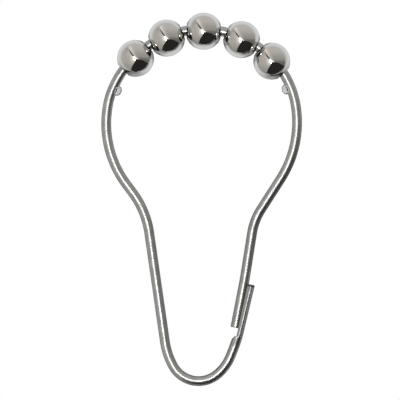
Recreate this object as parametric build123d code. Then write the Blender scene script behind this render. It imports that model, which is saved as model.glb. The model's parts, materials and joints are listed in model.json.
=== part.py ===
from build123d import *
from math import asin, cos, degrees, hypot, radians, sin
import os

# Shower curtain hook: a pear-shaped loop of round steel wire that carries five drilled balls.
# The balls roll along the curtain rod, and the curtain's eyelet hangs in the narrow end below.
# The loop snaps shut at a latch, where the wire's two ends lie side by side.
# Millimetres. The origin is the centre of the crown's bend, which is the axis of the rod.
# +X is to the viewer's right, +Y away from the viewer and +Z up.

# Wire and balls
wire_diameter = 2.0
ball_diameter = 7.5
bore_play = 0.8
bore_rim_chamfer = 0.12
hang_clearance = 0.05
gap_1_2 = 0.04
gap_2_3 = 0.14
gap_3_4 = 0.38
gap_4_5 = 0.04
middle_ball_angle = 0.8

# Crown, turns and shoulders: the wide upper part of the loop
crown_radius = 19.75
left_turn_radius = 15.0
left_turn_angle = 10.5
left_shoulder_radius = 20.6
left_shoulder_lean_angle = 36.5
right_turn_start_angle = 50.0
right_turn_radius = 17.3
right_turn_angle = 30.0
right_shoulder_radius = 21.3
right_shoulder_lean_angle = 32.7

# Stops: oval ears pinched out of the wire, which keep the balls on the crown
left_stop_angle = 67.0
right_stop_angle = 68.3
stop_length = 2.0
stop_width = 1.4
stop_bite = 0.08
stop_thickness = 0.9
stop_edge_radius = 0.2

# Necks and legs
left_neck_straight = 2.3
left_neck_radius = 17.9
left_leg_lean_angle = 8.2
right_neck_straight = 7.3
right_neck_radius = 12.5
right_leg_lean_angle = 9.0
right_leg_length = 8.5

# Lower bend, which holds the curtain's eyelet
hip_radius = 14.4
hip_angle = 21.0
eye_angle = 99.3
heel_radius = 9.2
heel_straight = 1.3

# Latch: the right leg ends in a tongue that lies in a groove pressed into the other end, the catch
tongue_set_radius = 60.0
tongue_lean_angle = 11.0
tongue_length = 8.9
tongue_end_chamfer = 0.1
latch_bend_radius = 11.5
latch_bend_angle = 8.6
latch_jog_angle = 9.5
catch_lean_angle = 13.4
catch_length = 9.7
catch_end_chamfer = 0.15
catch_wall = 0.77
catch_foot_gap = 0.5
groove_clearance = 0.1
groove_run_on = 0.7
left_flat_angle = 35.0
left_flat_depth = 0.33
right_flat_angle = 60.0
right_flat_depth = 0.116
ridge_radius = 0.4
flats_run_on = 1.2

wire_radius = wire_diameter / 2
bore_diameter = wire_diameter + bore_play
crown_top = Vector(0, 0, crown_radius)

# A stop stands off the wire by a little more than the play, so a ball's bore can't pass it
stop_middle_offset = wire_radius + bore_play + stop_bite - stop_width / 2


class Bender:
    """A wire in a bending machine: where its end is, where it heads, and its centreline so far."""

    def __init__(self, point, heading):
        self.point = point
        self.heading = heading
        self.edges = []
        self.stop = None

    def feed(self, length):
        """Let out a straight length."""
        end = self.point + self.heading * length
        self.edges.append(Edge.make_line(self.point, end))
        self.point = end

    def bend(self, radius, turn, lift=0):
        """Bend to the left as the viewer sees it, or to the right if negative, and lift to the viewer."""
        left = Vector(-self.heading.Z, 0, self.heading.X).normalized()
        angle = hypot(turn, lift)
        side = (left * turn + self.heading.cross(left) * lift) / angle
        hub = self.point + side * radius
        axis = Axis(hub, self.heading.cross(side))
        middle, end = (Vertex(*self.point).rotate(axis, part).center() for part in (angle / 2, angle))
        self.edges.append(Edge.make_three_point_arc(self.point, middle, end))
        self.heading = self.heading.rotate(Axis((0, 0, 0), axis.direction), angle)
        self.point = end

    def mark_stop(self):
        """Note a stop's place: X along the wire, Y to the inside of the loop, origin in the oval's middle."""
        inward = (self.heading * self.heading.dot(self.point) - self.point).normalized()
        middle = self.point + inward * stop_middle_offset
        self.stop = Plane(middle, x_dir=self.heading, z_dir=self.heading.cross(inward))

    def bend_to_lean(self, radius, lean):
        """Bend in the loop's plane until the wire leans by this much from straight down, inwards."""
        goal = Vector(sin(radians(lean)), 0, -cos(radians(lean)))
        self.bend(radius, self.heading.get_signed_angle(goal, Vector(0, -1, 0)))


def swept(bender, start, heading):
    """The round wire along a bender's centreline."""
    return sweep(Plane(start, z_dir=heading) * Circle(wire_radius), path=Wire(bender.edges))


def end_edge(solid, point):
    """The edge round the square-cut end at this point."""
    return solid.edges().filter_by(GeomType.CIRCLE).sort_by_distance(point)[0]


# The lower bends turn the wire right round from the left leg to the catch, and the heel makes up the rest
heel_angle = 180 - left_leg_lean_angle - catch_lean_angle - hip_angle - eye_angle - latch_bend_angle

# Right half, from the top of the crown down to the tongue's cut end
right = Bender(crown_top, Vector(1, 0, 0))
right.bend(crown_radius, -right_turn_start_angle)
right.bend(right_turn_radius, right_turn_start_angle - right_stop_angle)
right.mark_stop()
right.bend(right_turn_radius, right_stop_angle - right_turn_start_angle - right_turn_angle)
right.bend_to_lean(right_shoulder_radius, -right_shoulder_lean_angle)
right.feed(right_neck_straight)
right.bend_to_lean(right_neck_radius, -right_leg_lean_angle)
right.feed(right_leg_length)
right.bend_to_lean(tongue_set_radius, -tongue_lean_angle)
right.feed(tongue_length)
tongue_end = right.point
tongue_heading = right.heading


def left_half(leg_length, eye_radius):
    """The left half, from the top of the crown round the lower bend to the latch bend."""
    left = Bender(crown_top, Vector(-1, 0, 0))
    left.bend(crown_radius, left_stop_angle)
    left.mark_stop()
    left.bend(left_turn_radius, left_turn_angle)
    left.bend_to_lean(left_shoulder_radius, left_shoulder_lean_angle)
    left.feed(left_neck_straight)
    left.bend_to_lean(left_neck_radius, left_leg_lean_angle)
    left.feed(leg_length)
    left.bend(hip_radius, hip_angle)
    left.bend(eye_radius, eye_angle)
    left.bend(heel_radius, heel_angle)
    left.feed(heel_straight)
    return left


def catch_from(start, heading):
    """The latch bend, which jogs towards the viewer, and the catch, which rises past the tongue."""
    catch = Bender(start, heading)
    catch.bend(latch_bend_radius, latch_bend_angle / 2, latch_jog_angle)
    catch.bend(latch_bend_radius, latch_bend_angle / 2, -latch_jog_angle)
    foot = catch.point
    catch.feed(catch_length)
    return catch, foot


def foot_of(leg_length, eye_radius):
    """Where the catch's foot comes to lie for these two sizes."""
    left = left_half(leg_length, eye_radius)
    return catch_from(left.point, left.heading)[1]


# The loop closes at the catch's foot, beside the tongue's end. The foot moves in proportion to the
# left leg's length and the eye's radius, so three trials give the pair that brings it there.
outward = Vector(-tongue_heading.Z, 0, tongue_heading.X)
catch_pitch = catch_wall + groove_clearance
foot_goal = tongue_end + tongue_heading * catch_foot_gap + outward * catch_pitch
trial = foot_of(1, 1)
per_leg = foot_of(2, 1) - trial
per_eye = foot_of(1, 2) - trial
gap = foot_goal - trial
determinant = per_leg.X * per_eye.Z - per_leg.Z * per_eye.X
leg_length = 1 + (gap.X * per_eye.Z - gap.Z * per_eye.X) / determinant
eye_radius = 1 + (per_leg.X * gap.Z - per_leg.Z * gap.X) / determinant
print(f"left leg {leg_length:.3f}, eye radius {eye_radius:.3f}")

left = left_half(leg_length, eye_radius)
catch, foot = catch_from(left.point, left.heading)

right_wire = swept(right, crown_top, Vector(1, 0, 0))
right_wire = chamfer(end_edge(right_wire, tongue_end), tongue_end_chamfer)
left_wire = swept(left, crown_top, Vector(-1, 0, 0))
catch_wire = swept(catch, left.point, left.heading)
catch_wire = chamfer(end_edge(catch_wire, catch.point), catch_end_chamfer)


# The die that presses the groove also leaves two flats on the catch, with a rounded ridge between
# them. Its drawing is square to the catch, with X to the right and Y away from the viewer.
die_size = 2 * wire_diameter


def beyond_flat(turn, depth):
    """What the die takes off beyond a flat: turned to the right from facing the viewer, and this deep."""
    middle = Pos(0, depth - wire_radius - die_size / 2)
    return Rot(0, 0, turn) * middle * Rectangle(2 * die_size, die_size)


pressed = Rectangle(die_size, die_size)
pressed -= beyond_flat(-left_flat_angle, left_flat_depth)
pressed -= beyond_flat(right_flat_angle, right_flat_depth)
pressed = fillet(pressed.vertices().sort_by(Axis.Y)[0], ridge_radius)
waste = Rectangle(die_size, die_size) - pressed
right_side = Vector(catch.heading.Z, 0, -catch.heading.X)
die = Plane(foot - catch.heading * flats_run_on, x_dir=right_side, z_dir=catch.heading)
catch_wire -= die * extrude(waste, flats_run_on + catch_length + wire_diameter)

# The groove follows the tongue with room to spare, and runs out below it in a rounded shoulder
groove_radius = wire_radius + groove_clearance
groove_end = tongue_end + tongue_heading * groove_run_on
groove_plane = Plane(groove_end, z_dir=-tongue_heading)
groove_length = groove_run_on + catch_length + wire_diameter
catch_wire -= Solid.make_cylinder(groove_radius, groove_length, groove_plane)
catch_wire -= Pos(groove_end) * Sphere(groove_radius)


def pinched(wire, plane):
    """The wire with an ear coined out of it: two oval pockets, and the oval disc left between them."""
    oval = Ellipse(stop_length / 2, stop_width / 2)
    disc = extrude(oval, stop_thickness / 2, both=True)
    disc = fillet(disc.edges(), stop_edge_radius)
    pockets = extrude(oval, wire_diameter, both=True) - extrude(oval, stop_thickness / 2, both=True)
    return wire - plane * pockets + plane * disc


left_wire = pinched(left_wire, left.stop)
right_wire = pinched(right_wire, right.stop)

ring_wire = left_wire + right_wire + catch_wire

# Balls: each hangs on the wire at the outer side of its bore, so the row lies inside the crown
ball_circle_radius = crown_radius + wire_radius + hang_clearance - bore_diameter / 2


def pitch_angle(ball_gap):
    """The angle at the origin between two balls with this gap."""
    return 2 * degrees(asin((ball_diameter + ball_gap) / 2 / ball_circle_radius))


pitches = [pitch_angle(ball_gap) for ball_gap in (gap_1_2, gap_2_3, gap_3_4, gap_4_5)]
half_row = len(pitches) // 2
first_ball_angle = middle_ball_angle - sum(pitches[:half_row])
ball_angles = [first_ball_angle + sum(pitches[:i]) for i in range(len(pitches) + 1)]

drilled = Sphere(ball_diameter / 2) - Cylinder(bore_diameter / 2, ball_diameter)
drilled = chamfer(drilled.edges().filter_by(GeomType.CIRCLE), bore_rim_chamfer)

os.makedirs("parts", exist_ok=True)
export_step(ring_wire, "parts/ring_wire.step")
for number, angle in enumerate(ball_angles, start=1):
    print(f"ball {number} at {angle:.2f} degrees")
    ball = Rot(0, angle, 0) * Pos(0, 0, ball_circle_radius) * Rot(0, 90, 0) * drilled
    export_step(ball, f"parts/roller_ball_{number}.step")
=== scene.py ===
"""A shower curtain hook: a pear-shaped loop of bright steel wire with five chrome balls on its crown.

Sizes are in millimetres, and each mesh is put into metres once it is whole. +X is to the viewer's
right, +Y away from the viewer and +Z up, with the middle of the crown's bend at the origin.
"""

import json

import bpy
import numpy as np
from mathutils import Matrix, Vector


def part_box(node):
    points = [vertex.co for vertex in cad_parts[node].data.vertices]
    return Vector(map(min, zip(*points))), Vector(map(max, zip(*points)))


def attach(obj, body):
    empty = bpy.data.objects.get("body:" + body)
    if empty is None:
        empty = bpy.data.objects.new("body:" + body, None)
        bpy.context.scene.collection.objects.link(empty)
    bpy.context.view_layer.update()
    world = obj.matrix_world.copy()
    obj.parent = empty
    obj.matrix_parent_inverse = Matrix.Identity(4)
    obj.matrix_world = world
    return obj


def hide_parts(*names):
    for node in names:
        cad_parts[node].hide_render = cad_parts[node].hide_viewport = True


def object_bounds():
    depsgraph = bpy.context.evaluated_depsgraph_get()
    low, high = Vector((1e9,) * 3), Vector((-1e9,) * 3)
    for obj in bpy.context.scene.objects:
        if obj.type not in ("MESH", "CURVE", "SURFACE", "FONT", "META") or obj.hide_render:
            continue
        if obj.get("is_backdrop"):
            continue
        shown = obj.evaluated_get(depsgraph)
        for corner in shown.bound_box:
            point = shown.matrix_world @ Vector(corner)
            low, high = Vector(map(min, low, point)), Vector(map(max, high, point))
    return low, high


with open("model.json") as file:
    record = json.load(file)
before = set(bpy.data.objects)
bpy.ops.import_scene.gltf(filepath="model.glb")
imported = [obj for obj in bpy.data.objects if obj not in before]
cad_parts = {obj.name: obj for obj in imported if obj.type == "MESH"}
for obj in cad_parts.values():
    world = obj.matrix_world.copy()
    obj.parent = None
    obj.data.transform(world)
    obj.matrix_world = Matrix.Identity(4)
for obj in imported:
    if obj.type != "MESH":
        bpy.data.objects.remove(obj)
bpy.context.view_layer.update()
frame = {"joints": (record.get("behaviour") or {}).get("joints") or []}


# The hook's loop is one length of 2 mm spring steel wire, drawn bright and bent in a wire former.
# From the middle of the crown the two halves run down to the latch, where the right half ends in
# a plain tongue and the left half comes round the lower bend to end in the catch.

metre = 1000
wire_radius = 1.0
tongue_end_chamfer = 0.1
catch_end_chamfer = 0.15
degrees_a_ring = 1.5
wire_columns = 64
sheared_end = -10.0
sharp_degrees = 25

# A bend is (radius, degrees to the left, degrees towards the viewer), a straight (length, 0, 0)
right_half = {
    "crown": (19.75, -50, 0),
    "turn": (17.3, -30, 0),
    "shoulder": (21.3, -42.7, 0),
    "neck straight": (7.3, 0, 0),
    "neck": (12.5, 23.7, 0),
    "leg": (8.5, 0, 0),
    "set of the tongue": (60.0, -2, 0),
    "tongue": (8.9, 0, 0),
}
left_half = {
    "crown": (19.75, 67, 0),
    "turn": (15.0, 10.5, 0),
    "shoulder": (20.6, 49, 0),
    "neck straight": (2.3, 0, 0),
    "neck": (17.9, -28.3, 0),
    "leg": (22.312, 0, 0),
    "hip": (14.4, 21, 0),
    "eye": (5.89, 99.3, 0),
    "heel": (9.2, 29.5, 0),
    "heel straight": (1.3, 0, 0),
}
catch_half = {
    "jog to the viewer": (11.5, 4.3, 9.5),
    "jog back": (11.5, 4.3, -9.5),
    "catch": (9.7, 0, 0),
}
crown_top = np.array([0, 0, right_half["crown"][0]])


def shown(name, corners, faces):
    """A new object in the scene, with a mesh of these corners and faces."""
    mesh = bpy.data.meshes.new(name)
    mesh.from_pydata(corners, [], faces)
    mesh.update()
    piece = bpy.data.objects.new(name, mesh)
    bpy.context.scene.collection.objects.link(piece)
    return piece


def mapped(piece, pairs):
    """Gives a piece its map along the wire: a pair (U, V) for each corner of each face."""
    uv = piece.data.uv_layers.new(name="along").uv
    uv.foreach_set("vector", np.asarray(pairs, dtype=np.float32).ravel())
    return piece


def grid_faces(rows, columns, rows_closed=False, columns_closed=False):
    """The faces of a grid, whose corners are numbered row by row.

    Face (i, j) has the corners (i, j), (i, j + 1), (i + 1, j + 1) and (i + 1, j). Where the rows or
    the columns are closed, the first follows the last.
    """
    row, column = np.meshgrid(np.arange(rows - 1 + rows_closed), np.arange(columns - 1 + columns_closed),
                              indexing="ij")
    next_row, next_column = (row + 1) % rows, (column + 1) % columns
    faces = np.stack([row * columns + column, row * columns + next_column,
                      next_row * columns + next_column, next_row * columns + column], axis=-1)
    return faces.reshape(-1, 4)


def bent(start, heading, stretches):
    """The middle of a bent wire, as an array of points and one of headings.

    A bend swings the wire from its heading h towards a side s, which is square to it. After an
    angle a the wire is at radius * (sin a * h + (1 - cos a) * s), and heads along
    cos a * h + sin a * s. A straight is two points.
    """
    points = [np.array([start])]
    headings = [np.array([heading])]
    for size, turn, lift in stretches.values():
        angle = np.hypot(turn, lift)
        if angle == 0:
            points.append([start + size * heading])
            headings.append([heading])
        else:
            left = np.array([-heading[2], 0, heading[0]]) / np.hypot(heading[0], heading[2])
            side = (turn * left + lift * np.cross(heading, left)) / angle
            rings = int(np.ceil(angle / degrees_a_ring))
            a = np.radians(angle) * np.arange(1, rings + 1)[:, None] / rings
            points.append(start + size * (np.sin(a) * heading + (1 - np.cos(a)) * side))
            headings.append(np.cos(a) * heading + np.sin(a) * side)
        start, heading = points[-1][-1], headings[-1][-1]
    return np.concatenate(points), np.concatenate(headings)


def length_of(points):
    """The length of a line through these points."""
    return np.linalg.norm(np.diff(points, axis=0), axis=1).sum()


def chamfered(points, headings, first=0.0, last=0.0):
    """The middle of a wire with its ends' chamfers, and the wire's radius at each point.

    A chamfer of size c adds a ring of full radius at c from the end, and takes c off the end ring.
    """
    radii = np.full(len(points), wire_radius)
    if first:
        points = np.insert(points, 1, points[0] + first * headings[0], axis=0)
        headings = np.insert(headings, 1, headings[0], axis=0)
        radii = np.insert(radii, 0, wire_radius - first)
    if last:
        points = np.insert(points, -1, points[-1] - last * headings[-1], axis=0)
        headings = np.insert(headings, -1, headings[-1], axis=0)
        radii = np.append(radii, wire_radius - last)
    return points, headings, radii


def tube(name, points, headings, radii, start_length=0.0):
    """A closed round tube: a circle of the given radius carried square to each heading.

    Column angle v starts at the back of the wire, where the map's seam is. A ring's point is
    middle + radius * (cos v * left + sin v * h x left), where left is the wire's left in the
    loop's plane. The map's U is the length along the wire in millimetres, and its V is v. On the
    two ends U is below 0, which marks them as sheared.
    """
    left = np.stack([-headings[:, 2], 0 * headings[:, 0], headings[:, 0]], axis=1)
    left /= np.linalg.norm(left, axis=1, keepdims=True)
    over = np.cross(headings, left)
    v = np.linspace(-np.pi / 2, 3 * np.pi / 2, wire_columns + 1)
    ring = np.cos(v[:-1, None]) * left[:, None] + np.sin(v[:-1, None]) * over[:, None]
    rings = points[:, None] + radii[:, None, None] * ring
    corners = np.concatenate([rings.reshape(-1, 3), points[:1], points[-1:]])

    walls = grid_faces(len(points), wire_columns, columns_closed=True)
    here, there = np.arange(wire_columns), (np.arange(wire_columns) + 1) % wire_columns
    first_middle, last_middle = len(rings) * wire_columns + np.array([0, 1])
    last_ring = (len(rings) - 1) * wire_columns
    first_end = np.stack([there, here, np.full(wire_columns, first_middle)], axis=1)
    last_end = np.stack([here + last_ring, there + last_ring, np.full(wire_columns, last_middle)], axis=1)
    ends = np.concatenate([first_end, last_end])

    steps = np.linalg.norm(np.diff(points, axis=0), axis=1)
    u = start_length + np.concatenate([[0], np.cumsum(steps)])
    row, column = np.divmod(np.arange(len(walls)), wire_columns)
    wall_map = np.stack([u[row], v[column], u[row], v[column + 1],
                         u[row + 1], v[column + 1], u[row + 1], v[column]], axis=-1)
    end_map = np.tile([sheared_end, 0], (ends.size, 1))
    return mapped(shown(name, corners, walls.tolist() + ends.tolist()),
                  np.concatenate([wall_map.reshape(-1, 2), end_map]))


def combine(piece, operation, tool):
    """Cuts the tool out of the piece, or joins it on, and takes the tool away."""
    step = piece.modifiers.new(tool.name, "BOOLEAN")
    step.operation = operation
    step.object = tool
    step.solver = "EXACT"
    whole = bpy.data.meshes.new_from_object(piece.evaluated_get(bpy.context.evaluated_depsgraph_get()))
    piece.modifiers.clear()
    piece.data = whole
    bpy.data.objects.remove(tool)


right_points, right_headings = bent(crown_top, np.array([1.0, 0, 0]), right_half)
left_points, left_headings = bent(crown_top, np.array([-1.0, 0, 0]), left_half)
loop_points = np.concatenate([right_points[::-1], left_points[1:]])
loop_headings = np.concatenate([-right_headings[::-1], left_headings[1:]])
loop_length = length_of(loop_points)
ring = tube("ring", *chamfered(loop_points, loop_headings, first=tongue_end_chamfer))

catch_points, catch_headings = bent(left_points[-1], left_headings[-1], catch_half)
wire_length = loop_length + length_of(catch_points)
catch = tube("catch", *chamfered(catch_points, catch_headings, last=catch_end_chamfer), loop_length)

# The catch was pressed over the tongue in a die, which left a round groove in its back, a little
# wider than the tongue. It runs on a little below the tongue's end, to a rounded shoulder.
groove_radius = wire_radius + 0.1
groove_run_on = 1.3
groove_length = 14.0
shoulder_rings = 10
shoulder_tip_degrees = 1
tongue_heading = right_headings[-1]
swing = np.radians(np.linspace(shoulder_tip_degrees, 90, shoulder_rings))
groove_steps = np.append(-groove_run_on - groove_radius * np.cos(swing), groove_length)
groove_radii = np.append(groove_radius * np.sin(swing), groove_radius)
groove_points = right_points[-1] - groove_steps[:, None] * tongue_heading
groove_headings = np.repeat(-tongue_heading[None], len(groove_steps), axis=0)

# The same die leaves two flats on the catch, with a rounded ridge between them. A flat is given as
# (the column angle that it faces, its distance from the wire's middle).
left_flat = (np.radians(55), 0.67)
right_flat = (np.radians(150), 0.884)
flat_width = 2 * wire_radius
ridge_radius = 0.4
ridge_steps = 20
flats_run_on = 1.2


def die(name, start, heading, length, start_length):
    """What the die takes off the catch: a thick sheet over its outline, drawn out along the heading.

    The outline is an arc, middle + ridge radius * n, from one flat's facing to the other's, where
    n = cos v * left + sin v * h x left, and a straight on from each end. The middle is where both
    flats are tangents. The map's U is the length along the wire, and its V is v.
    """
    left = np.array([-heading[2], 0, heading[0]]) / np.hypot(heading[0], heading[2])
    across = np.stack([left, np.cross(heading, left)])
    facings, distances = np.transpose([left_flat, right_flat])
    flats = np.stack([np.cos(facings), np.sin(facings)], axis=1)
    middle = np.linalg.solve(flats, distances - ridge_radius)
    v = np.concatenate([facings[:1], np.linspace(*facings, ridge_steps), facings[1:]])
    n = np.stack([np.cos(v), np.sin(v)], axis=1)
    outline = middle + ridge_radius * n
    outline[0] -= flat_width * np.array([-n[0, 1], n[0, 0]])
    outline[-1] += flat_width * np.array([-n[-1, 1], n[-1, 0]])
    v[[0, -1]] += np.array([-flat_width, flat_width]) / wire_radius
    sheet = np.stack([outline, outline + wire_radius * n], axis=1) @ across
    corners = start + sheet[:, :, None] + np.array([[0], [length]]) * heading
    k = 4 * np.arange(len(v) - 1)[:, None]
    last = 4 * (len(v) - 1)
    faces = np.concatenate([k + (0, 1, 5, 4), k + (2, 6, 7, 3), k + (0, 4, 6, 2), k + (1, 3, 7, 5),
                            [(0, 2, 3, 1)], [(last, last + 1, last + 3, last + 2)]])
    corner_map = np.stack([start_length + np.tile([0, length], 2 * len(v)), np.repeat(v, 4)], axis=1)
    return mapped(shown(name, corners.reshape(-1, 3), faces.tolist()), corner_map[faces])


flats_start = catch_points[-2] - flats_run_on * catch_headings[-1]
length_to_flats = wire_length - catch_half["catch"][0] - flats_run_on
combine(catch, "DIFFERENCE", die("die", flats_start, catch_headings[-1], groove_length, length_to_flats))
combine(catch, "DIFFERENCE", tube("groove", groove_points, groove_headings, groove_radii))
combine(ring, "UNION", catch)

# Two ears keep the balls on the crown. Each is coined out of the wire in a press: an oval flat
# with rounded edges, between pockets of the same oval where the wire was squeezed.
ear_length = 2.0
ear_width = 1.4
ear_half_thickness = 0.45
ear_edge_radius = 0.2
ear_offset = 1.18
ear_columns = 48
pocket_depth = 2 * wire_radius
coined_face = -5.0
right_ear_turn = (right_half["turn"][0], -18.3, 0)
ear_routes = {
    "left_ear": (np.array([-1.0, 0, 0]), {"crown": left_half["crown"]}),
    "right_ear": (np.array([1.0, 0, 0]), {"crown": right_half["crown"], "turn": right_ear_turn}),
}


def oval(name, place, heights, insets):
    """A closed oval slab: rings of the ear's oval at these heights, each drawn in by its inset.

    A ring's point is (half length - inset) * cos v along the wire and (half width - inset) * sin v
    across it. The place is a matrix with the wire's heading, the way in and the way up as columns.
    The map's U is the same all over, and below 0, which marks a coined face.
    """
    v = 2 * np.pi * np.arange(ear_columns) / ear_columns
    insets, heights = np.asarray(insets)[:, None], np.asarray(heights)[:, None]
    rings = np.stack([(ear_length / 2 - insets) * np.cos(v), (ear_width / 2 - insets) * np.sin(v),
                      heights + 0 * v], axis=-1)
    walls = grid_faces(len(rings), ear_columns, columns_closed=True)
    underside = np.arange(ear_columns)[::-1]
    top = np.arange(ear_columns) + ear_columns * (len(rings) - 1)
    corners = rings.reshape(-1, 3) @ place[:3, :3].T + place[:3, 3]
    slab = shown(name, corners, walls.tolist() + [underside.tolist(), top.tolist()])
    return mapped(slab, np.tile([coined_face, 0], (len(slab.data.loops), 1)))


quarter = np.radians(np.arange(0, 91, 15))
edge_heights = ear_half_thickness - ear_edge_radius * (1 - np.sin(quarter))
edge_insets = ear_edge_radius * (1 - np.cos(quarter))
ear_heights = np.concatenate([-edge_heights[::-1], edge_heights])
ear_insets = np.concatenate([edge_insets[::-1], edge_insets])
for ear_name, (crown_heading, route) in ear_routes.items():
    ear_points, ear_headings = bent(crown_top, crown_heading, route)
    ear_point, ear_heading = ear_points[-1], ear_headings[-1]
    inward = ear_heading * ear_heading.dot(ear_point) - ear_point
    inward /= np.linalg.norm(inward)
    ear_place = np.column_stack([ear_heading, inward, np.cross(ear_heading, inward),
                                 ear_point + ear_offset * inward])
    for ear_side in (-1, 1):
        pocket = sorted([ear_side * ear_half_thickness, ear_side * pocket_depth])
        combine(ring, "DIFFERENCE", oval(ear_name + "_pocket", ear_place, pocket, [0, 0]))
    combine(ring, "UNION", oval(ear_name, ear_place, ear_heights, ear_insets))


def finished(piece, material):
    """Puts a whole piece into metres, shades it smooth up to its sharp edges, and gives its finish."""
    piece.data.transform(Matrix.Scale(1 / metre, 4))
    piece.data.polygons.foreach_set("use_smooth", np.ones(len(piece.data.polygons), bool))
    piece.data.set_sharp_from_angle(angle=np.radians(sharp_degrees))
    piece.data.materials.clear()
    piece.data.materials.append(material)


def node(material, kind, inputs=None, **settings):
    """A new node in a material, with its settings, and values or links for its inputs."""
    made = material.node_tree.nodes.new(kind)
    for name, value in settings.items():
        setattr(made, name, value)
    for name, value in (inputs or {}).items():
        if isinstance(value, bpy.types.NodeSocket):
            material.node_tree.links.new(value, made.inputs[name])
        else:
            made.inputs[name].default_value = value
    return made


def math(material, operation, *values):
    """These values or links, worked on as the operation says."""
    return node(material, "ShaderNodeMath", dict(enumerate(values)), operation=operation).outputs[0]


def between(material, value, low, high, to_low=0.0, to_high=1.0, **settings):
    """A value moved from one range to another, and held inside it."""
    ranges = {"Value": value, "From Min": low, "From Max": high, "To Min": to_low, "To Max": to_high}
    return node(material, "ShaderNodeMapRange", ranges, **settings).outputs["Result"]


def mixed(material, share, first, second):
    """A mix of two colours, with the second's share. They are the node's sockets 6 and 7, the mix is 2."""
    return node(material, "ShaderNodeMix", {0: share, 6: first, 7: second}, data_type="RGBA").outputs[2]


def new_metal(name):
    """A bare metal: a material and its shader."""
    material = bpy.data.materials.new(name)
    material.use_nodes = True
    shader = material.node_tree.nodes["Principled BSDF"]
    shader.inputs["Metallic"].default_value = 1
    return material, shader


# Bright drawn steel: the drawing die leaves fine lines along the wire, tumbling dulls it in
# patches, and the closing die scores the catch with slanting marks. The sheared ends and the
# coined faces of the ears are dull, and the steel mirrors little at a grazing angle. The last half
# millimetre of the catch is painted as dark as a sheared end, a painted shade for its rounded end.
steel_dark = (0.35, 0.365, 0.365, 1)
steel_light = (0.47, 0.49, 0.49, 1)
scored_steel = (0.24, 0.25, 0.24, 1)
# The sheared ends' dull dark, also painted on the end of the catch as shade
sheared_and_shaded_steel = (0.16, 0.16, 0.16, 1)
grazing_tint = (0, 0, 0, 1)
line_spacing = 0.2
line_length = 30.0
patch_length = 1.7
patch_width = 0.8
dark_to_light = (0.8, 1.2)
dull_to_bright = (0.75, 1.25)
steel_roughness = (0.35, 0.31)
mark_spacing = 0.55
mark_slant = 0.9
mark_crests = (0.2, 0.9)
mark_patches = (0.42, 0.6)
mark_depth = 0.03
mark_strength = 0.4
marks_fade_in = (1.5, 3.5)
# Painted shade: the catch's last 0.4 to 0.55 mm are painted as dark as a sheared end
painted_catch_end_shade = (0.55, 0.4)
sheared_dulling = 0.25
coined_dulling = 0.2
face_mark_margin = 1
steel, steel_shader = new_metal("drawn_steel")
steel_shader.inputs["Specular Tint"].default_value = grazing_tint

wire_map = node(steel, "ShaderNodeUVMap", uv_map="along")
wire_place = node(steel, "ShaderNodeSeparateXYZ", {"Vector": wire_map.outputs["UV"]})
wire_run, wire_turn = wire_place.outputs["X"], wire_place.outputs["Y"]
round_wire = node(steel, "ShaderNodeCombineXYZ", {"X": wire_run, "Y": math(steel, "COSINE", wire_turn),
                                                  "Z": math(steel, "SINE", wire_turn)})


def wire_noise(length_size, round_size, detail):
    """Noise on the wire: the map's length over one size, and a circle of radius 1 over the other."""
    sizes = (1 / length_size, 1 / round_size, 1 / round_size)
    scaled = node(steel, "ShaderNodeVectorMath", {0: round_wire.outputs[0], 1: sizes}, operation="MULTIPLY")
    return node(steel, "ShaderNodeTexNoise",
                {"Vector": scaled.outputs[0], "Scale": 1, "Detail": detail}).outputs["Fac"]


lines = wire_noise(line_length, line_spacing, 1)
patches = wire_noise(patch_length, patch_width, 2)
brightness = math(steel, "ADD", lines, patches)
slanted = math(steel, "MULTIPLY_ADD", wire_turn, mark_slant, wire_run)
ridges = math(steel, "SINE", math(steel, "MULTIPLY", slanted, 2 * np.pi / mark_spacing))
patchy_marks = math(steel, "MULTIPLY", between(steel, ridges, *mark_crests),
                    between(steel, patches, *mark_patches))
in_die = between(steel, wire_run, loop_length + marks_fade_in[0], loop_length + marks_fade_in[1])
marks = math(steel, "MULTIPLY", patchy_marks, in_die)

is_coined = math(steel, "COMPARE", wire_run, coined_face, face_mark_margin)
at_tongue = math(steel, "SUBTRACT", math(steel, "LESS_THAN", wire_run, tongue_end_chamfer), is_coined)
# Painted shade for the catch's rounded end: a band in the sheared ends' dark colour
at_shaded_catch_end = between(steel, wire_run, wire_length - painted_catch_end_shade[0], wire_length - painted_catch_end_shade[1])
sheared_and_shaded = math(steel, "MAXIMUM", at_tongue, at_shaded_catch_end)

polished = mixed(steel, between(steel, brightness, *dark_to_light), steel_dark, steel_light)
scored = mixed(steel, marks, polished, scored_steel)
steel_colour = mixed(steel, sheared_and_shaded, scored, sheared_and_shaded_steel)
drawn_roughness = between(steel, brightness, *dull_to_bright, *steel_roughness)
ends_roughness = math(steel, "MULTIPLY_ADD", sheared_and_shaded, sheared_dulling, drawn_roughness)
whole_roughness = math(steel, "MULTIPLY_ADD", is_coined, coined_dulling, ends_roughness)
scoring = node(steel, "ShaderNodeBump", {"Height": marks, "Strength": mark_strength,
                                         "Distance": mark_depth / metre}, invert=True)
steel.node_tree.links.new(steel_colour, steel_shader.inputs["Base Color"])
steel.node_tree.links.new(whole_roughness, steel_shader.inputs["Roughness"])
steel.node_tree.links.new(scoring.outputs["Normal"], steel_shader.inputs["Normal"])
finished(ring, steel)
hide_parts("ring_wire")
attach(ring, "loop")


# The balls are five 7.5 mm steel balls, drilled through for the wire with a loose bore, the rims
# broken by a small chamfer, then polished and chrome plated. They roll along the curtain rod.

bore_radius = 1.4
rim_chamfer = 0.12
ball_columns = 96
ball_degrees = 2.0
bore_rings = 8


def flipped(faces):
    """The same faces from the same first corners, facing the other way."""
    return faces[:, [0, 3, 2, 1]]


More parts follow.
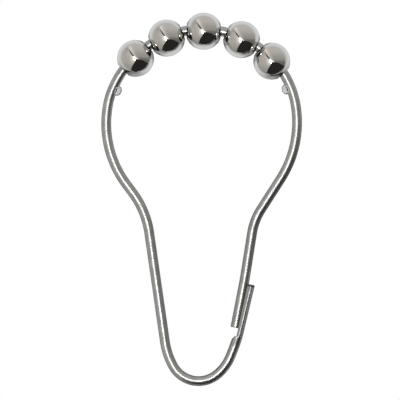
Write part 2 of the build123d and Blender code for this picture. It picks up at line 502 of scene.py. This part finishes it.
def drilled_ball(name, middle, axis, radius):
    """A ball with a bore: a closed outline turned about the bore's axis.

    The outline goes over the ball's arc at radius * (cos p, sin p), p from just outside one rim to
    the other, and back along the bore. The rim's chamfer is the straight step between the two.
    """
    rim = np.arcsin(bore_radius / radius)
    arc = np.linspace(rim + rim_chamfer / radius, np.pi - rim - rim_chamfer / radius,
                      int(np.degrees(np.pi - 2 * rim) / ball_degrees))
    bore_end = radius * np.cos(rim) - rim_chamfer
    bore = np.linspace(-bore_end, bore_end, bore_rings)
    along = np.concatenate([radius * np.cos(arc), bore])
    out = np.concatenate([radius * np.sin(arc), np.full(len(bore), bore_radius)])
    v = 2 * np.pi * np.arange(ball_columns) / ball_columns
    across = np.array([axis[2], 0, -axis[0]])
    circle = np.cos(v)[:, None] * across + np.sin(v)[:, None] * np.cross(axis, across)
    corners = middle + along[:, None, None] * axis + out[:, None, None] * circle
    faces = flipped(grid_faces(len(out), ball_columns, rows_closed=True, columns_closed=True))
    return shown(name, corners.reshape(-1, 3), faces.tolist())


# Chrome plate, mirror polished, with a faint haze and the slight waviness of tumbled balls
chrome_dark = (0.55, 0.55, 0.54, 1)
chrome_light = (0.59, 0.59, 0.58, 1)
chrome_roughness = (0.025, 0.05)
haze_size = 0.9
haze_spread = (0.35, 0.65)
ripple_height = 0.1
ripple_strength = 0.02
chrome, chrome_shader = new_metal("polished_chrome")
ball_spot = node(chrome, "ShaderNodeTexCoord").outputs["Object"]
haze = node(chrome, "ShaderNodeTexNoise",
            {"Vector": ball_spot, "Scale": metre / haze_size, "Detail": 3}).outputs["Fac"]
hazy_colour = mixed(chrome, haze, chrome_dark, chrome_light)
hazy_roughness = between(chrome, haze, *haze_spread, *chrome_roughness)
ripple = node(chrome, "ShaderNodeBump", {"Height": haze, "Strength": ripple_strength,
                                         "Distance": ripple_height / metre})
chrome.node_tree.links.new(hazy_colour, chrome_shader.inputs["Base Color"])
chrome.node_tree.links.new(hazy_roughness, chrome_shader.inputs["Roughness"])
chrome.node_tree.links.new(ripple.outputs["Normal"], chrome_shader.inputs["Normal"])
for number, joint in enumerate(frame["joints"], start=1):
    low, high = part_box(f"roller_ball_{number}")
    ball_radius = (high.y - low.y) / 2 * metre
    ball = drilled_ball(f"ball_on_wire_{number}", np.array(joint["pos_m"]) * metre,
                        np.array(joint["axis"]), ball_radius)
    finished(ball, chrome)
    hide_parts(f"roller_ball_{number}")
    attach(ball, f"ball_{number}")


# The studio is a pale cloth tent round the front of the hook, white all round behind it. Each
# sheet of it is laid out as it is mirrored on a ball, in ball radii from the ball's middle, and
# the sheets hang one in front of the other.

tent_distance = 600
opening_distance = 590
right_lamp_distance = 570
slit_distance = 560
left_lamp_distance = 550
cloth_reach = 0.8
cloth_tint = (1.03, 0.975, 0.90)
lamp_tint = (1, 1, 1)
edge_steps = 40
across_steps = 24


def glow_sheet(name, corners, faces, **glows):
    """A sheet with each of these glows, an array with a value for every corner, as an attribute."""
    sheet = shown(name, corners, faces)
    for glow_name, values in glows.items():
        sheet.data.attributes.new(glow_name, "FLOAT", "POINT").data.foreach_set("value", values.ravel())
    sheet.visible_camera = False
    return sheet


def plain_material(name):
    """A new material with no nodes in it."""
    material = bpy.data.materials.new(name)
    material.use_nodes = True
    material.node_tree.nodes.clear()
    return material


def hung(name, first_edge, second_edge, glow, tint, distance):
    """A glowing sheet between two edges, each a few points (x, y) where a ball mirrors them.

    Between the edges it is ruled straight: (1 - t) * first + t * second. A ball mirrors at (x, y)
    what lies in the direction (2 c x, 1 - 2 c c, 2 c y), where c is the root of 1 - x x - y y. The
    glow is a function of x and y. A camera doesn't see the sheet, and only a lamp is sampled as a
    light.
    """
    s = np.linspace(0, 1, edge_steps)
    edges = [np.stack([np.interp(s, np.linspace(0, 1, len(edge)), values) for values in np.transpose(edge)])
             for edge in (first_edge, second_edge)]
    t = np.linspace(0, 1, across_steps)[:, None]
    x, y = [(1 - t) * first + t * second for first, second in zip(*edges)]
    c = np.sqrt(1 - x * x - y * y)
    corners = distance / metre * np.stack([2 * c * x, 1 - 2 * c * c, 2 * c * y], axis=-1)
    sheet = glow_sheet(name, corners.reshape(-1, 3), grid_faces(across_steps, edge_steps).tolist(),
                       glow=glow(x, y) + 0 * x)
    material = plain_material(name)
    material.cycles.emission_sampling = "FRONT_BACK" if name.endswith("lamp") else "NONE"
    level = node(material, "ShaderNodeAttribute", attribute_name="glow")
    light = node(material, "ShaderNodeEmission", {"Strength": level.outputs["Fac"], "Color": (*tint, 1)})
    node(material, "ShaderNodeOutputMaterial", {"Surface": light.outputs["Emission"]})
    sheet.data.materials.append(material)
    sheet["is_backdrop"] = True


def smooth(low, high, value):
    """A soft step from 0 at low to 1 at high."""
    share = np.clip((value - low) / (high - low), 0, 1)
    return share * share * (3 - 2 * share)


# The cloth is lightest beside the slit and round the left lamp, and dull at the right
slit_heights = [-0.68, -0.04, 0.21, 0.60]
slit_places = [-0.2, -0.03, -0.19, -0.40]
left_cloth = 0.48
left_cloth_at_lamps = 0.38
left_cloth_far_from_slit = -0.20
glare = 0.6
glare_middle_x = -0.10
right_cloth = 0.22
right_cloth_rise = 0.26
right_cloth_by_slit = 0.40
lamp_middle_y = 0.05


def cloth_glow(x, y):
    """The cloth's brightness: each part's own, and what soft steps in x and y add to it."""
    slit = np.interp(y, slit_heights, slit_places)
    at_lamps = 1 - smooth(0.1, 0.6, abs(y - lamp_middle_y))
    by_left_lamp = (1 - smooth(0, 0.22, abs(x - glare_middle_x))) * (1 - smooth(0.02, 0.25, abs(y)))
    left = (left_cloth + glare * by_left_lamp
            + at_lamps * (left_cloth_at_lamps + left_cloth_far_from_slit * smooth(0, 0.4, slit - x)))
    right = (right_cloth + right_cloth_rise * (smooth(-0.06, 0.12, y) + smooth(0.1, 0.6, y))
             + right_cloth_by_slit * (1 - smooth(0, 0.30, x - slit)))
    return np.where(x > slit, right, left)


half_turn = np.linspace(np.pi, 0, edge_steps)
rim_over = cloth_reach * np.stack([np.cos(half_turn), np.sin(half_turn)], axis=1)
hung("tent_cloth", rim_over, rim_over * [1, -1], cloth_glow, cloth_tint, tent_distance)

opening_glow = 0.03
hung("tent_opening",
     [(-0.28, -0.65), (-0.20, -0.42), (-0.10, -0.27), (0.0, -0.11), (0.12, -0.04), (0.40, -0.10),
      (0.70, -0.25)],
     [(-0.28, -0.65), (-0.08, -0.72), (0.18, -0.72), (0.38, -0.64), (0.53, -0.52), (0.64, -0.40),
      (0.70, -0.25)],
     lambda x, y: opening_glow, cloth_tint, opening_distance)

left_lamp_glow = 18.0
left_lamp_fall = 5.0
hung("left_lamp",
     [(-0.13, 0.09), (-0.09, 0.03), (-0.075, -0.04), (-0.065, -0.13)],
     [(-0.12, 0.10), (-0.05, 0.04), (0.015, -0.02), (-0.045, -0.13)],
     lambda x, y: left_lamp_glow - left_lamp_fall * smooth(-0.05, 0.12, y), lamp_tint, left_lamp_distance)

right_lamp_glow = 3.0
hung("right_lamp",
     [(-0.09, 0.13), (-0.01, 0.02), (0.13, -0.06)],
     [(-0.08, 0.14), (0.015, 0.03), (0.135, -0.05)],
     lambda x, y: right_lamp_glow, lamp_tint, right_lamp_distance)

slit_glow = 0.05
hung("tent_slit",
     [(-0.365, 0.50), (-0.325, 0.39), (-0.25, 0.23), (-0.12, 0.08), (-0.04, -0.04), (0.04, -0.11)],
     [(-0.355, 0.50), (-0.285, 0.40), (-0.175, 0.25), (-0.085, 0.12), (-0.01, -0.01), (0.08, -0.08)],
     lambda x, y: slit_glow, cloth_tint, slit_distance)


# The hook lies against a glowing white card, which its metal mirrors. The card's glow carries
# painted shade: dark close to the hook, but white round and behind the balls, grey further off
# and round the legs, and darkest beside the right leg. Only what the metal mirrors sees the card.

card_half_width = 100
card_steps = 161
card_white_reach = 9
card_grey_reach = 26
card_far_shade = 0.25
leg_shadow = 0.5
leg_shadow_reach = (7, 16)
side_shadow = 0.7
side_shadow_reach = (8, 14)
side_shadow_top = (-10, 0)
side_shadow_foot = (-35, -28)
ball_cover_reach = (2.0, 3.7)
shadow_reach = 4.0
shadow_depth = 3.0
shadow_samples = 8
card_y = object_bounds()[1].y * metre
across_card = np.linspace(-card_half_width, card_half_width, card_steps)
card_x, card_z = [grid.ravel() for grid in np.meshgrid(across_card, across_card)]
hook_x, _, hook_z = loop_points.T
off_points = np.hypot(card_x[:, None] - hook_x, card_z[:, None] - hook_z)
off_hook = off_points.min(axis=1)
off_legs = off_points[:, hook_z < 0].min(axis=1)
# Painted shade on the card's glow: grey further from the hook, and darker round the legs
card_glow = np.minimum(1 - card_far_shade * smooth(card_white_reach, card_grey_reach, off_hook),
                       1 - leg_shadow * (1 - smooth(*leg_shadow_reach, off_legs)))
# Painted shade beside the right leg, between its top and its foot, which the leg's right rim mirrors
beside_leg = (smooth(*side_shadow_reach, card_x) * (1 - smooth(*side_shadow_top, card_z))
              * smooth(*side_shadow_foot, card_z))
card_glow *= 1 - side_shadow * beside_leg
ball_x, _, ball_z = metre * np.transpose([joint["pos_m"] for joint in frame["joints"]])
off_balls = np.hypot(card_x[:, None] - ball_x, card_z[:, None] - ball_z).min(axis=1)
card = glow_sheet("card", np.stack([card_x, 0 * card_x + card_y, card_z], axis=1) / metre,
                  grid_faces(card_steps, card_steps).tolist(),
                  glow=card_glow, behind_ball=1 - smooth(*ball_cover_reach, off_balls))
card.visible_diffuse = False
card.visible_shadow = False
card.visible_transmission = False
# The card's painted shade: its glow, darkened where ambient occlusion finds the hook close by, and white
# behind the balls
painted_shade_card = plain_material("painted_shade_card")
painted_shade_card.cycles.emission_sampling = "NONE"
openness = node(painted_shade_card, "ShaderNodeAmbientOcclusion", {"Distance": shadow_reach / metre},
                samples=shadow_samples)
by_hook = math(painted_shade_card, "POWER", openness.outputs["AO"], shadow_depth)
card_level = node(painted_shade_card, "ShaderNodeAttribute", attribute_name="glow")
cover = node(painted_shade_card, "ShaderNodeAttribute", attribute_name="behind_ball")
shaded = math(painted_shade_card, "MULTIPLY", by_hook, card_level.outputs["Fac"])
card_light = node(painted_shade_card, "ShaderNodeEmission",
                  {"Strength": math(painted_shade_card, "MAXIMUM", shaded, cover.outputs["Fac"])})
node(painted_shade_card, "ShaderNodeOutputMaterial", {"Surface": card_light.outputs["Emission"]})
card.data.materials.append(painted_shade_card)
card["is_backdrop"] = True


# A round pale floor lies under the hook. It fades to white at its edge, where it meets the
# backdrop, and the hook's metal doesn't mirror it.

floor_z = -62
floor_radius = 90
floor_colour = (0.94, 0.95, 0.97, 1)
floor_fade = (0.4, 0.98)
floor_ring_count = 9
floor_degrees = 5
floor_rings = np.linspace(0, floor_radius / metre, floor_ring_count + 1)[1:]
floor_turns = np.radians(np.arange(0, 360, floor_degrees))
floor_x, floor_y = np.outer(floor_rings, np.cos(floor_turns)), np.outer(floor_rings, np.sin(floor_turns))
floor_corners = np.stack([floor_x, floor_y, np.full(floor_x.shape, floor_z / metre)], axis=-1)
floor_bands = flipped(grid_faces(len(floor_rings), len(floor_turns), columns_closed=True))
floor_middle = list(range(len(floor_turns)))
floor = shown("floor", floor_corners.reshape(-1, 3), floor_bands.tolist() + [floor_middle])
floor.visible_glossy = False
pale = plain_material("pale_floor")
floor_spot = node(pale, "ShaderNodeTexCoord").outputs["Object"]
flat_spot = node(pale, "ShaderNodeVectorMath", {0: floor_spot, 1: (1, 1, 0)}, operation="MULTIPLY")
off_middle = node(pale, "ShaderNodeVectorMath", {0: flat_spot.outputs[0]}, operation="LENGTH")
fade_start, fade_end = np.array(floor_fade) * floor_radius / metre
at_edge = between(pale, off_middle.outputs["Value"], fade_start, fade_end, interpolation_type="SMOOTHSTEP")
matt = node(pale, "ShaderNodeBsdfDiffuse", {"Color": floor_colour})
white = node(pale, "ShaderNodeEmission", {"Strength": 1.0})
faded = node(pale, "ShaderNodeMixShader", {0: at_edge, 1: matt.outputs[0], 2: white.outputs[0]})
node(pale, "ShaderNodeOutputMaterial", {"Surface": faded.outputs[0]})
floor.data.materials.append(pale)
floor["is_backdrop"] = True

world = bpy.data.worlds.new("white_backdrop")
bpy.context.scene.world = world
world.use_nodes = True
world.node_tree.nodes["Background"].inputs["Color"].default_value = (1, 1, 1, 1)
world.node_tree.nodes["Background"].inputs["Strength"].default_value = 1


# The camera looks level along +Y from far off, through a long lens. A photograph of 400 pixels
# spans 81.2 mm at the hook.

view_span = 81.2
view_middle = (-0.47, -14.86)
camera_distance = 1000
camera_data = bpy.data.cameras.new("camera")
camera = bpy.data.objects.new("camera", camera_data)
bpy.context.scene.collection.objects.link(camera)
camera.location = (view_middle[0] / metre, -camera_distance / metre, view_middle[1] / metre)
camera.rotation_euler = (np.pi / 2, 0, 0)
camera_data.lens = camera_data.sensor_width * camera_distance / view_span
bpy.context.scene.camera = camera
bpy.context.scene.view_settings.view_transform = "Standard"
